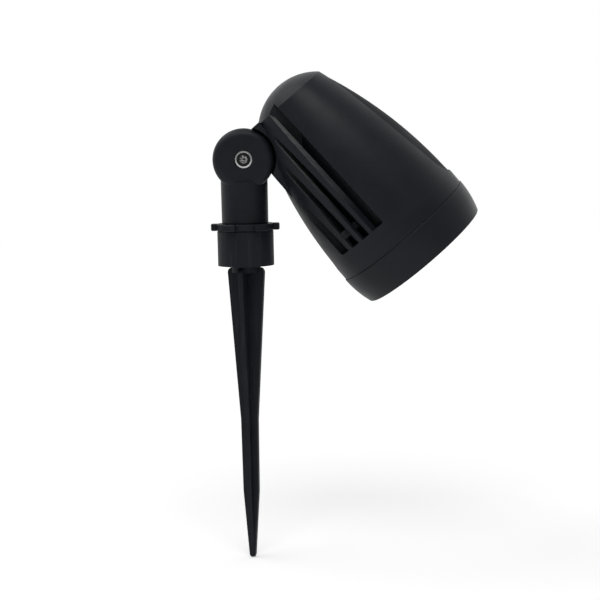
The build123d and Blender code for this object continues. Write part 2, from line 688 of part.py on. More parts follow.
def spreader_screw_places():
    """Where the spreader's screws stand round the beam, one of them at the bottom."""
    step = 360 / SPREADER_SCREW_COUNT
    turns = [Rot(180 + index * step, 0, 0) for index in range(SPREADER_SCREW_COUNT)]
    return [turn * Pos(0, 0, SPREADER_SCREW_CIRCLE) for turn in turns]


def holder_screw_places():
    """Where the holder's two screws stand, one on each side of the light source."""
    return [Pos(0, side * HOLDER_SCREW_OFFSET, 0) for side in (-1, 1)]


def small_screw(under_head, length):
    """Pan-head screw along the beam, with its head's underside at under_head."""
    head = rod_x(SMALL_SCREW_HEAD_RADIUS, under_head, under_head + SMALL_SCREW_HEAD_HEIGHT)
    head = chamfer(head.edges().filter_by(GeomType.CIRCLE).sort_by(Axis.X)[-1], SMALL_SCREW_HEAD_HEIGHT / 3)
    return head + rod_x(SMALL_SCREW_RADIUS, under_head - length, under_head)


def screw_hole():
    """Clearance hole of a small screw, all along the light source."""
    return rod_x(SMALL_SCREW_RADIUS + SMALL_SCREW_HOLE_FIT, -LEDGE_BACK, 0)


def lead_places():
    """The two wires side by side above the light source."""
    return [side * LEAD_SPACING / 2 for side in (-1, 1)]


def heat_spreader():
    """Aluminium disc on the ledge, with its screw holes and a notch for the wires."""
    disc = rod_x(MOUTH_RADIUS - SPREADER_FIT, -LEDGE_BACK, SPREADER_FRONT)
    for place in spreader_screw_places() + holder_screw_places():
        disc -= place * screw_hole()
    for aside in lead_places():
        disc -= rod_x(LEAD_RADIUS + LEAD_HOLE_CLEARANCE, -LEDGE_BACK, SPREADER_FRONT, y=aside, z=LEAD_RISE)
    return disc


def spreader_screws():
    """The spreader's screws, as separate solids."""
    length = SPREADER_THICKNESS + SPREADER_SCREW_BITE
    return Compound([place * small_screw(SPREADER_FRONT, length) for place in spreader_screw_places()])


def thermal_pad():
    """Thin square pad behind the light source."""
    half = PAD_SIZE / 2
    return block(SPREADER_FRONT, BOARD_BACK, -half, half, -half, half)


def led_board():
    """Square ceramic plate of the light source."""
    half = BOARD_SIZE / 2
    return block(BOARD_BACK, BOARD_FRONT, -half, half, -half, half)


def led_emitter():
    """Round light-emitting surface on the plate."""
    disc = rod_x(EMITTER_RADIUS, BOARD_FRONT, BOARD_FRONT + EMITTER_HEIGHT)
    return fillet(disc.edges().filter_by(GeomType.CIRCLE).sort_by(Axis.X)[-1], EMITTER_HEIGHT / 2)


def led_holder():
    """Plastic ring that presses the light source on the spreader."""
    ring = rod_x(HOLDER_RADIUS, SPREADER_FRONT, HOLDER_FRONT)
    half = PAD_SIZE / 2 + HOLDER_POCKET_FIT
    ring -= block(SPREADER_FRONT, BOARD_FRONT, -half, half, -half, half)
    ring -= rod_x(HOLDER_WINDOW_RADIUS, SPREADER_FRONT, HOLDER_FRONT)
    for place in holder_screw_places():
        ring -= place * screw_hole()
    return ring


def holder_screws():
    """The holder's screws, as separate solids."""
    length = HOLDER_HEIGHT + SPREADER_THICKNESS
    return Compound([place * small_screw(HOLDER_FRONT, length) for place in holder_screw_places()])


def reflector():
    """Parabolic bowl from the holder's face to its flange behind the glass."""
    flange_back = GLASS_BACK - REFLECTOR_FLANGE_THICKNESS
    depth = GLASS_BACK - HOLDER_FRONT
    mouth = GLASS_RADIUS - REFLECTOR_MOUTH_SET_IN
    flange = GLASS_RADIUS - REFLECTOR_FLANGE_FIT
    growth = (mouth**2 - REFLECTOR_THROAT_RADIUS**2) / depth
    alongs = [depth * (step / REFLECTOR_STEPS) ** 2 for step in range(REFLECTOR_STEPS + 1)]

    def bowl_radius(along):
        return sqrt(REFLECTOR_THROAT_RADIUS**2 + growth * along)

    inside = [(HOLDER_FRONT + along, bowl_radius(along)) for along in alongs]
    outside = [(x, r + REFLECTOR_WALL) for x, r in inside if x < flange_back - REFLECTOR_WALL]
    flange_foot = (flange_back, bowl_radius(flange_back - HOLDER_FRONT) + REFLECTOR_WALL)
    outside.append(flange_foot)
    outline = Spline(*inside) + Line(inside[0], outside[0]) + Spline(*outside)
    outline += Polyline(
        flange_foot,
        (flange_back, flange),
        (GLASS_BACK, flange),
        inside[-1],
    )
    return turned(outline, Axis.X)


def led_leads():
    """Two wires from the driver, through the spreader and down to the holder."""
    bend_x = SPREADER_FRONT + LEAD_STAND_OFF - LEAD_RADIUS
    wires = []
    for aside in lead_places():
        points = [
            (-DRIVER_FRONT, LEAD_RISE),
            (bend_x, LEAD_RISE),
            (bend_x, HOLDER_RADIUS - LEAD_BEND),
        ]
        path = FilletPolyline(*points, radius=LEAD_BEND)
        path = Plane.XZ * path
        section = Plane(origin=path @ 0, z_dir=path % 0) * Circle(LEAD_RADIUS)
        wires.append(Pos(0, aside, 0) * sweep(section, path))
    return Compound(wires)


# Driver

DRIVER_BACK = DRIVER_FRONT + DRIVER_LENGTH


def driver_cup(inset, front, back):
    """Tapered plug that follows the bore at an inset, between two distances behind the seam."""
    front_radius = bore_radius_at(front) - inset
    back_radius = bore_radius_at(back) - inset
    points = [(-front, 0), (-front, front_radius), (-back, back_radius), (-back, 0)]
    return turned(Polyline(*points, close=True), Axis.X)


def driver_case():
    """Plastic cup of the driver, open to the front."""
    cup = driver_cup(DRIVER_FIT, DRIVER_FRONT, DRIVER_BACK)
    return cup - driver_cup(DRIVER_FIT + DRIVER_WALL, DRIVER_FRONT - 1, DRIVER_BACK - DRIVER_WALL)


def driver_board():
    """Circuit board across the cup, cut to the cup's taper."""
    inside = driver_cup(
        DRIVER_FIT + DRIVER_WALL + DRIVER_BOARD_INSET, DRIVER_FRONT, DRIVER_BACK - DRIVER_WALL
    )
    low = -DRIVER_BOARD_DROP - DRIVER_BOARD_THICKNESS
    slab = block(-DRIVER_BACK, -DRIVER_FRONT, -BORE_RADIUS, BORE_RADIUS, low, -DRIVER_BOARD_DROP)
    return slab & inside


def driver_parts():
    """Coil, capacitor and transistor that stand on the board, as separate solids."""
    coil_back, capacitor_back, transistor_back = DRIVER_PART_BACKS
    floor = -DRIVER_BOARD_DROP
    coil = rod_z(COIL_RADIUS, floor, floor + COIL_HEIGHT, x=-coil_back)
    capacitor = rod_z(CAPACITOR_RADIUS, floor, floor + CAPACITOR_HEIGHT, x=-capacitor_back)
    long_side, short_side, height = TRANSISTOR_SIZE
    transistor = Pos(-transistor_back, 0, floor + height / 2) * Box(short_side, long_side, height)
    return Compound([coil, capacitor, transistor])


STANDING_PIECES = [
    ground_spike,
    stem_seal,
    cable_grommet,
    knuckle_base,
    locknut,
    clamp_screw,
    screw_washer,
    friction_washer,
]
HEAD_PIECES = [
    tilt_nut,
    ear_seal,
    housing,
    arm_grommet,
    bezel_ring,
    bezel_seal,
    glass_gasket,
    front_glass,
    heat_spreader,
    spreader_screws,
    thermal_pad,
    led_board,
    led_emitter,
    led_holder,
    holder_screws,
    led_leads,
    reflector,
    driver_case,
    driver_board,
    driver_parts,
]

os.makedirs("parts", exist_ok=True)
for piece in STANDING_PIECES:
    export_step(piece(), f"parts/{piece.__name__}.step")
for piece in HEAD_PIECES:
    export_step(place_head(piece()), f"parts/{piece.__name__}.step")
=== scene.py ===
import json
from math import atan, cos, radians, sin, sqrt

import bpy
from mathutils import Matrix, Vector


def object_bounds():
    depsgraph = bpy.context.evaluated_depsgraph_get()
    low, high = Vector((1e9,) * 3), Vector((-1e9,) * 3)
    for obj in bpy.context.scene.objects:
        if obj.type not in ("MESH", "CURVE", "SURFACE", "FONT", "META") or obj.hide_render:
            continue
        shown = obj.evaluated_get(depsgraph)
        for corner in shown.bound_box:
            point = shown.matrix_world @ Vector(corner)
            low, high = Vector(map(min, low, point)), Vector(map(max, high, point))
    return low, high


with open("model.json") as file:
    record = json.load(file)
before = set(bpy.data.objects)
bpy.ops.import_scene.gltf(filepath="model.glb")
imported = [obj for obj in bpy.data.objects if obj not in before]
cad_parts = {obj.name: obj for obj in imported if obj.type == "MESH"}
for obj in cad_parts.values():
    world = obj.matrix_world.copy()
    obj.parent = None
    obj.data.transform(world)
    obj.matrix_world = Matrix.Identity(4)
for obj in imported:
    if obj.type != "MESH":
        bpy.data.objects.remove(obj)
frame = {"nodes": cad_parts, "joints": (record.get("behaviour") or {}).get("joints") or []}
cad_low, cad_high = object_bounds()

# ---------------------------------------------------------------------------------------------
# The view. A long lens at about the height of the lamp's head looks slightly down at it from the
# side, with the beam pointing down to the right.
VIEW_YAW = 0.0261
VIEW_PITCH = 0.1077
VIEW_ROLL = -0.0206
VIEW_DISTANCE = 0.94601
VIEW_TARGET = Vector((0.033273, 0, -0.022862))
VIEW_REACH = 50
FRAME_PIXELS = 600
LENS_PIXELS = 1503.34

ahead = Vector((sin(VIEW_YAW) * cos(VIEW_PITCH), cos(VIEW_YAW) * cos(VIEW_PITCH), -sin(VIEW_PITCH)))
level = Vector((cos(VIEW_YAW), -sin(VIEW_YAW), 0))
upward = level.cross(ahead)
right = level * cos(VIEW_ROLL) + upward * sin(VIEW_ROLL)
up = upward * cos(VIEW_ROLL) - level * sin(VIEW_ROLL)
camera = bpy.data.objects.new("camera", bpy.data.cameras.new("camera"))
camera.data.sensor_fit = "HORIZONTAL"
camera.data.angle = 2 * atan(FRAME_PIXELS / 2 / LENS_PIXELS)
camera.data.clip_end = VIEW_REACH
axes = Matrix((right, up, -ahead)).transposed().to_4x4()
camera.matrix_world = Matrix.Translation(VIEW_TARGET - ahead * VIEW_DISTANCE) @ axes
bpy.context.scene.collection.objects.link(camera)
bpy.context.scene.camera = camera
bpy.context.scene.view_settings.view_transform = "Standard"

# ---------------------------------------------------------------------------------------------
# Ground spike. One moulding of black glass-filled nylon: the socket for the knuckle's stem on top
# of two crossing blades. It has the mould's fine matt grain, faint streaks where the melt flowed
# down the blades, and edges painted a little lighter, partly as wear and partly as a painted highlight.
NYLON_BLACK = (0.0112, 0.0124, 0.0172, 1)
# Paler nylon, for the flow streaks and for the edges, where it is partly wear and partly a painted
# highlight.
NYLON_PALE = (0.034, 0.038, 0.046, 1)
NYLON_SHEEN = 0.14
FLOW_STREAKS_PER_METRE = 420
FLOW_STREAK_STRETCH = 0.06
FLOW_STREAK_SPAN = (0.52, 0.75)
FLOW_STREAK_SHARE = 0.35
# Where a noise begins and ends, as it is used for gloss and, more sharply, for colour.
NOISE_SPAN = (0.3, 0.7)
SHARP_NOISE_SPAN = (0.35, 0.65)
SKIN_DARKEST = 0.8
# Edge wear and painted edge light start where rounding an edge would turn the surface by 6 degrees, and
# are full at 37.
EDGE_WEAR_AND_LIGHT_TURN_COSINES = (0.995, 0.8)
EDGE_WEAR_AND_LIGHT_BREAK_SPAN = (0.38, 0.62)


def new_material(name):
    """A material with only its Principled shader and its output."""
    material = bpy.data.materials.new(name)
    material.use_nodes = True
    tree = material.node_tree
    tree.nodes.clear()
    shader = tree.nodes.new("ShaderNodeBsdfPrincipled")
    output = tree.nodes.new("ShaderNodeOutputMaterial")
    tree.links.new(shader.outputs["BSDF"], output.inputs["Surface"])
    return material, tree, shader


def wear_finish(piece, *materials, which=None):
    """Give a piece its finishes. Of several, which(face) says the number of a face's own one."""
    mesh = frame["nodes"][piece].data
    mesh.materials.clear()
    for material in materials:
        mesh.materials.append(material)
    if which:
        for face in mesh.polygons:
            face.material_index = which(face)


def add_node(tree, kind, **settings):
    """Add a shader node, with its settings."""
    node = tree.nodes.new(kind)
    for name, value in settings.items():
        setattr(node, name, value)
    return node


def plug(tree, source, socket):
    """Give a socket a value, or link it to another node's output."""
    if isinstance(source, bpy.types.NodeSocket):
        tree.links.new(source, socket)
    else:
        socket.default_value = source


def feed(tree, node, **sockets):
    """Set a node's named inputs, from values or from other nodes' outputs."""
    for name, source in sockets.items():
        plug(tree, source, node.inputs[name.replace("_", " ")])
    return node


def stretch_between(tree, value, span, result=(0.0, 1.0)):
    """Map one span of a value onto another, held at its ends."""
    node = add_node(tree, "ShaderNodeMapRange")
    feed(tree, node, Value=value, From_Min=span[0], From_Max=span[1], To_Min=result[0], To_Max=result[1])
    return node.outputs["Result"]


def combine(tree, operation, first, second):
    """One step of arithmetic on two values."""
    node = add_node(tree, "ShaderNodeMath", operation=operation)
    plug(tree, first, node.inputs[0])
    plug(tree, second, node.inputs[1])
    return node.outputs["Value"]


def combine_vectors(tree, operation, *sources):
    """One step of arithmetic on vectors, with a value and a vector as its outputs."""
    node = add_node(tree, "ShaderNodeVectorMath", operation=operation)
    for socket, source in zip(node.inputs, sources):
        plug(tree, source, socket)
    return node.outputs


def blend_colours(tree, mask, first, second):
    """Mix two colours by a mask."""
    node = add_node(tree, "ShaderNodeMix", data_type="RGBA")
    feed(tree, node, Factor=mask)
    for name, source in (("A", first), ("B", second)):
        plug(tree, source, next(s for s in node.inputs if s.name == name and s.type == "RGBA"))
    return next(s for s in node.outputs if s.type == "RGBA")


def place_on_piece(tree):
    """Where a point lies in the frame of its own piece, in metres."""
    return add_node(tree, "ShaderNodeTexCoord").outputs["Object"]


def noise(tree, vector, per_metre, detail=4.0, roughness=0.6):
    """Fractal noise at so many cells to the metre."""
    node = add_node(tree, "ShaderNodeTexNoise")
    feed(tree, node, Vector=vector, Scale=per_metre, Detail=detail, Roughness=roughness)
    return node.outputs["Fac"]


def start_group(name, inputs, outputs):
    """A shader node group with its sockets. An input is a label, a kind and a default."""
    tree = bpy.data.node_groups.new(name, "ShaderNodeTree")
    for label, kind, default in inputs:
        socket = tree.interface.new_socket(label, in_out="INPUT", socket_type=f"NodeSocket{kind}")
        socket.default_value = default
    for label, kind in outputs:
        tree.interface.new_socket(label, in_out="OUTPUT", socket_type=f"NodeSocket{kind}")
    return tree, tree.nodes.new("NodeGroupInput"), tree.nodes.new("NodeGroupOutput")


def make_fine_grain():
    """Fine grain over soft ripples, as a height, and slow patches for colour and gloss."""
    tree, entry, leave = start_group(
        "fine_grain",
        [("Grain per metre", "Float", 2500.0), ("Ripples per metre", "Float", 700.0),
         ("Ripple share", "Float", 0.5), ("Patches per metre", "Float", 60.0)],
        [("Height", "Float"), ("Patches", "Float")],
    )
    place = place_on_piece(tree)
    grain = noise(tree, place, entry.outputs["Grain per metre"], detail=3.0)
    ripples = noise(tree, place, entry.outputs["Ripples per metre"], detail=1.0, roughness=0.4)
    soft = combine(tree, "MULTIPLY", ripples, entry.outputs["Ripple share"])
    feed(tree, leave, Height=combine(tree, "ADD", grain, soft))
    feed(tree, leave, Patches=noise(tree, place, entry.outputs["Patches per metre"]))
    return tree


def make_edge_wear_and_painted_light():
    """Mask of the outer edges, broken up, where a finish takes its edge colour: partly wear and partly
    painted light, a painted highlight on dark parts and painted shade on white ones.
    """
    tree, entry, leave = start_group(
        "edge_wear_and_painted_light",
        [("Width", "Float", 0.0005), ("Breaks per metre", "Float", 900.0), ("Amount", "Float", 0.5)],
        [("Mask", "Float")],
    )
    rounded = add_node(tree, "ShaderNodeBevel", samples=4)
    feed(tree, rounded, Radius=entry.outputs["Width"])
    flat = add_node(tree, "ShaderNodeNewGeometry").outputs["Normal"]
    turn = combine_vectors(tree, "DOT_PRODUCT", rounded.outputs["Normal"], flat)["Value"]
    edges = stretch_between(tree, turn, EDGE_WEAR_AND_LIGHT_TURN_COSINES)
    breaks = noise(tree, place_on_piece(tree), entry.outputs["Breaks per metre"])
    kept = combine(tree, "MULTIPLY", edges, stretch_between(tree, breaks, EDGE_WEAR_AND_LIGHT_BREAK_SPAN))
    feed(tree, leave, Mask=combine(tree, "MULTIPLY", kept, entry.outputs["Amount"]))
    return tree


def make_streaks():
    """Long streaks along one direction, such as flow lines or brushing."""
    tree, entry, leave = start_group(
        "streaks",
        [("Squeeze", "Vector", (1.0, 1.0, 0.05)), ("Streaks per metre", "Float", 400.0)],
        [("Streaks", "Float")],
    )
    place = place_on_piece(tree)
    squeezed = combine_vectors(tree, "MULTIPLY", place, entry.outputs["Squeeze"])["Vector"]
    feed(tree, leave, Streaks=noise(tree, squeezed, entry.outputs["Streaks per metre"]))
    return tree


fine_grain = make_fine_grain()
edge_wear_and_painted_light = make_edge_wear_and_painted_light()
streaks = make_streaks()


def place_group(tree, group, **values):
    """Put a node group into a material, with its inputs."""
    return feed(tree, add_node(tree, "ShaderNodeGroup", node_tree=group), **values)


def raise_surface(tree, shader, height, depth):
    """Let a height, over a depth in metres, shape the shading of a surface."""
    bump = add_node(tree, "ShaderNodeBump")
    feed(tree, bump, Height=height, Distance=depth, Strength=1.0)
    feed(tree, shader, Normal=bump.outputs["Normal"])


def skin_finish(name, colour, edge_wear_and_light_colour, gloss, grain, depth, sheen=0.5, edge_wear_and_light_amount=0.5, edge_wear_and_light_width=0.0005):
    """A moulded or sprayed skin. Gloss is the lowest and highest roughness, and grain is the cells
    to the metre of the fine grain, of its ripples and of its patches. Its edges take the edge
    colour by the edge mask, partly as wear and partly as painted light."""
    material, tree, shader = new_material(name)
    skin = place_group(tree, fine_grain, Grain_per_metre=grain[0], Ripples_per_metre=grain[1],
                       Patches_per_metre=grain[2])
    patches = skin.outputs["Patches"]
    # Edges painted in the edge colour: partly wear, partly a painted highlight, and painted shade on
    # white parts.
    wear_and_painted_light = place_group(tree, edge_wear_and_painted_light, Width=edge_wear_and_light_width, Amount=edge_wear_and_light_amount).outputs["Mask"]
    darker = tuple(SKIN_DARKEST * part for part in colour[:3]) + (1,)
    ground = blend_colours(tree, stretch_between(tree, patches, SHARP_NOISE_SPAN), darker, colour)
    feed(tree, shader, Base_Color=blend_colours(tree, wear_and_painted_light, ground, edge_wear_and_light_colour))
    feed(tree, shader, Roughness=stretch_between(tree, patches, NOISE_SPAN, gloss))
    feed(tree, shader, Specular_IOR_Level=sheen)
    raise_surface(tree, shader, skin.outputs["Height"], depth)
    return material


def lay_over(material, mask, colour):
    """Lay another colour over a finished skin, by a mask."""
    tree = material.node_tree
    shader = tree.nodes["Principled BSDF"]
    ground = shader.inputs["Base Color"].links[0].from_socket
    feed(tree, shader, Base_Color=blend_colours(tree, mask, ground, colour))


def nylon_finish():
    """Black nylon: the moulded skin, with flow streaks in its colour."""
    material = skin_finish("black_nylon", NYLON_BLACK, NYLON_PALE, gloss=(0.42, 0.56),
                           grain=(2400, 900, 45), depth=0.00003, sheen=NYLON_SHEEN, edge_wear_and_light_width=0.0006)
    tree = material.node_tree
    flow = place_group(tree, streaks, Squeeze=(1.0, 1.0, FLOW_STREAK_STRETCH),
                       Streaks_per_metre=FLOW_STREAKS_PER_METRE)
    lines = stretch_between(tree, flow.outputs["Streaks"], FLOW_STREAK_SPAN, (0.0, FLOW_STREAK_SHARE))
    lay_over(material, lines, NYLON_PALE)
    return material


wear_finish("ground_spike", nylon_finish())

# ---------------------------------------------------------------------------------------------
# Rubber pieces of the stand. The flat ring under the locknut and the cable grommet in the
# socket's far side are moulded silicone rubber, dull, pressed in place. Their edges are painted
# paler, partly as dust and partly as a painted highlight.
RUBBER_BLACK = (0.010, 0.010, 0.011, 1)
# Paler rubber for the edges: partly dust, partly a painted highlight.
RUBBER_DUST_AND_HIGHLIGHT = (0.040, 0.039, 0.036, 1)

black_rubber = skin_finish("black_rubber", RUBBER_BLACK, RUBBER_DUST_AND_HIGHLIGHT, gloss=(0.72, 0.9),
                           grain=(1800, 500, 120), depth=0.00004, sheen=0.3, edge_wear_and_light_amount=0.35,
                           edge_wear_and_light_width=0.0004)
for piece in ("stem_seal", "cable_grommet"):
    wear_finish(piece, black_rubber)

# ---------------------------------------------------------------------------------------------
# Locknut. A round nut with six lugs, turned down on the socket's top by hand. It is of the same
# black nylon as the spike, but its grain is slightly drier.
nut_nylon = skin_finish("nut_nylon", NYLON_BLACK, NYLON_PALE, gloss=(0.46, 0.6),
                        grain=(2000, 600, 70), depth=0.000035, sheen=NYLON_SHEEN, edge_wear_and_light_amount=0.6)
wear_finish("locknut", nut_nylon)

# ---------------------------------------------------------------------------------------------
# Knuckle. The post with its near ear and hollow stem is one aluminium die casting, sprayed with
# a satin black polyester powder. The cured powder keeps a fine grain over a soft orange peel.
POWDER_BLACK = (0.0092, 0.0104, 0.0148, 1)
# Paler powder for the edges: partly wear, partly a painted highlight.
POWDER_WEAR_AND_HIGHLIGHT = (0.040, 0.042, 0.047, 1)
POWDER_SHEEN = 0.2

black_powder = skin_finish("black_powder", POWDER_BLACK, POWDER_WEAR_AND_HIGHLIGHT, gloss=(0.36, 0.52),
                           grain=(2600, 850, 38), depth=0.00004, sheen=POWDER_SHEEN, edge_wear_and_light_amount=0.45,
                           edge_wear_and_light_width=0.0006)
wear_finish("knuckle_base", black_powder)

# ---------------------------------------------------------------------------------------------
# Clamp screw, washers and nut. Turned and pressed stainless steel, clamped through both ears. The
# screw's rim and its key socket are bright from the tool, and its flat face is duller.
PIVOT = Vector(next(joint for joint in frame["joints"] if joint["name"] == "head_tilt")["pos_m"])
PIVOT_AXIS = (0, 1, 0)
STEEL = (0.56, 0.56, 0.57, 1)
STEEL_SHADE = (0.30, 0.30, 0.31, 1)
STEEL_DULL = (0.035, 0.035, 0.037, 1)
STEEL_BRIGHT = (0.66, 0.66, 0.66, 1)
TOOL_RINGS_PER_METRE = 3200
TOOL_RING_DEPTH = 0.000006
SCREW_FACE_INNER = 0.0025
SCREW_FACE_OUTER = 0.00435
SCREW_RING_DEPTH = 0.000004
SCREW_UNDER_HEAD = -0.0085
RIM_EASE = 0.85
PUNCH_BLOTCHES_PER_METRE = 900.0
PUNCH_BLOTCH_SPAN = (0.46, 0.53)
FINISH_BORDER = 0.0001


def make_turned():
    """Rings about an axis, as a lathe leaves them, and the distance from that axis."""
    tree, entry, leave = start_group(
        "turned",
        [("Centre", "Vector", (0.0, 0.0, 0.0)), ("Axis", "Vector", (0.0, 1.0, 0.0)),
         ("Rings per metre", "Float", 3000.0)],
        [("Rings", "Float"), ("Distance", "Float")],
    )
    place = place_on_piece(tree)
    offset = combine_vectors(tree, "SUBTRACT", place, entry.outputs["Centre"])["Vector"]
    across = combine_vectors(tree, "CROSS_PRODUCT", offset, entry.outputs["Axis"])["Vector"]
    distance = combine_vectors(tree, "LENGTH", across)["Value"]
    rings = add_node(tree, "ShaderNodeTexNoise", noise_dimensions="1D")
    feed(tree, rings, W=distance, Scale=entry.outputs["Rings per metre"], Detail=3.0, Roughness=0.6)
    feed(tree, leave, Rings=rings.outputs["Fac"], Distance=distance)
    return tree


turned = make_turned()


def turned_metal(name, colour, shade, centre, axis, gloss, rings=TOOL_RINGS_PER_METRE,
                 depth=TOOL_RING_DEPTH):
    """Turned bare metal, with rings about an axis and patches of lighter and darker surface. It
    comes with its node tree, its shader and its rings, for more to be added to it."""
    material, tree, shader = new_material(name)
    lathe = place_group(tree, turned, Centre=centre, Axis=axis, Rings_per_metre=rings)
    skin = place_group(tree, fine_grain, Grain_per_metre=4000.0, Ripples_per_metre=1500.0,
                       Patches_per_metre=350.0)
    patches = stretch_between(tree, skin.outputs["Patches"], NOISE_SPAN)
    feed(tree, shader, Base_Color=blend_colours(tree, patches, shade, colour), Metallic=1.0)
    feed(tree, shader, Roughness=stretch_between(tree, lathe.outputs["Rings"], NOISE_SPAN, gloss))
    raise_surface(tree, shader, lathe.outputs["Rings"], depth)
    return material, tree, shader, lathe


def bright_metal(name, *looks, **surface):
    """The turned metal alone, for a piece that needs nothing more."""
    return turned_metal(name, *looks, **surface)[0]


def screw_finish():
    """Stainless steel, dull between the key socket and the polished rim, whose turned bevel is
    eased so that it faces forward. The socket's floor keeps blotches from the punch."""
    material, tree, shader, lathe = turned_metal("screw_steel", STEEL, STEEL_SHADE, PIVOT, PIVOT_AXIS,
                                                 gloss=(0.2, 0.36))
    distance = lathe.outputs["Distance"]
    floor = stretch_between(tree, distance, (SCREW_FACE_INNER, SCREW_FACE_INNER - FINISH_BORDER))
    rim = stretch_between(tree, distance, (SCREW_FACE_OUTER - FINISH_BORDER, SCREW_FACE_OUTER))
    skin = place_group(tree, fine_grain, Patches_per_metre=PUNCH_BLOTCHES_PER_METRE)
    blotches = stretch_between(tree, skin.outputs["Patches"], PUNCH_BLOTCH_SPAN)
    punched = blend_colours(tree, blotches, STEEL_DULL, STEEL_BRIGHT)
    faced = blend_colours(tree, floor, STEEL_DULL, punched)
    feed(tree, shader, Base_Color=blend_colours(tree, rim, faced, STEEL_BRIGHT))
    past_rim = combine(tree, "MAXIMUM", combine(tree, "SUBTRACT", distance, SCREW_FACE_OUTER), 0.0)
    eased = combine(tree, "MULTIPLY", past_rim, RIM_EASE)
    rings = combine(tree, "MULTIPLY", lathe.outputs["Rings"], SCREW_RING_DEPTH)
    raise_surface(tree, shader, combine(tree, "ADD", eased, rings), depth=1.0)
    return material


washer_steel = bright_metal("washer_steel", STEEL, STEEL_SHADE, PIVOT, PIVOT_AXIS, gloss=(0.3, 0.45))
wear_finish("clamp_screw", screw_finish(), washer_steel,
            which=lambda face: 1 if face.center.y > SCREW_UNDER_HEAD else 0)
for piece in ("screw_washer", "friction_washer", "tilt_nut"):
    wear_finish(piece, washer_steel)

# ---------------------------------------------------------------------------------------------
# Rubber pieces of the arm. A square ring in the far ear's groove seals the knuckle, and a bush
# in the duct grips the wires between knuckle and housing.
for piece in ("ear_seal", "arm_grommet"):
    wear_finish(piece, black_rubber)

# ---------------------------------------------------------------------------------------------
# Housing. An aluminium die casting with its fins, keel and far ear, in the knuckle's powder. The
# leaf-shaped panel let into its top is left rougher and takes no highlight, and the fins' sloping
# upper edges carry painted light: paler streaks that grow toward the rear.
HEAD_TILT = radians(50.2)
BEAM = Vector((cos(HEAD_TILT), 0, -sin(HEAD_TILT)))
LIFT = Vector((sin(HEAD_TILT), 0, cos(HEAD_TILT)))
SEAM_AHEAD_OF_PIVOT = 0.0986
SEAM_ABOVE_PIVOT = 0.046
SEAM_CENTRE = PIVOT + BEAM * SEAM_AHEAD_OF_PIVOT + LIFT * SEAM_ABOVE_PIVOT
SIDE_ARC = 0.2683
SIDE_CROWN_BACK = 0.0036
SIDE_CROWN_RADIUS = 0.0466
# The panel's faces lie between two distances behind the seam, at its sink, and look upward.
PANEL_FRONT = 0.0096
PANEL_REAR = 0.109
PANEL_BOTTOM = 0.01
PANEL_SINK = 0.0008
PANEL_SINK_PLAY = 0.6
PANEL_LEAST_LIFT = 0.3
# The fins' sloping edges lie in the side recess, and look both outward and upward.
FIN_ASIDE = 0.019
FIN_FRONT = 0.014
FIN_REAR = 0.115
FIN_LOW = -0.036
FIN_HIGH = -0.010
FIN_LEAST_OUTWARD = 0.5
FIN_LEAST_LIFT = 0.6
PANEL_BLACK = (0.0082, 0.0090, 0.0115, 1)
# Painted light on the fins' upward-facing edges: a paler grey that grows toward the rear, in streaks.
FIN_EDGE_PAINTED_LIGHT = (0.104, 0.114, 0.110, 1)
FIN_LIGHT_FROM = 0.03
FIN_LIGHT_FULL = 0.1
FIN_LIGHT_STREAKS_PER_METRE = 900.0
FIN_LIGHT_STREAK_SQUEEZE = (0.1, 1.0, 0.1)
FIN_LIGHT_STREAK_SPAN = (0.3, 0.6)
FIN_LIGHT_STREAK_RANGE = (0.55, 1.0)


def place_on_head(face):
    """A face's distance behind the seam, to the side and above the beam's axis."""
    place = face.center - SEAM_CENTRE
    return -place.dot(BEAM), place.y, place.dot(LIFT)


def side_radius(back):
    """Radius of the housing's arched side at a distance behind the seam."""
    return SIDE_CROWN_RADIUS - SIDE_ARC + sqrt(SIDE_ARC**2 - (back - SIDE_CROWN_BACK) ** 2)


def on_panel(face):
    """Whether a face lies on the sunken panel."""
    back, side, rise = place_on_head(face)
    if rise < PANEL_BOTTOM or not PANEL_FRONT < back < PANEL_REAR:
        return False
    sink = side_radius(back) - sqrt(rise**2 + side**2)
    at_sink = abs(sink - PANEL_SINK) < PANEL_SINK_PLAY * PANEL_SINK
    return at_sink and face.normal.dot(LIFT) > PANEL_LEAST_LIFT


def on_fin_edge(face):
    """Whether a face lies on the sloping upper edge of a cooling fin."""
    back, side, rise = place_on_head(face)
    outward = face.normal.y if side > 0 else -face.normal.y
    in_recess = abs(side) >= FIN_ASIDE and FIN_FRONT < back < FIN_REAR and FIN_LOW < rise < FIN_HIGH
    return in_recess and outward > FIN_LEAST_OUTWARD and face.normal.dot(LIFT) > FIN_LEAST_LIFT


def housing_finish(face):
    """The number of a face's finish: the panel's, the fin edges' painted light or, for the rest, the
    powder.
    """
    if on_panel(face):
        return 1
    return 2 if on_fin_edge(face) else 0


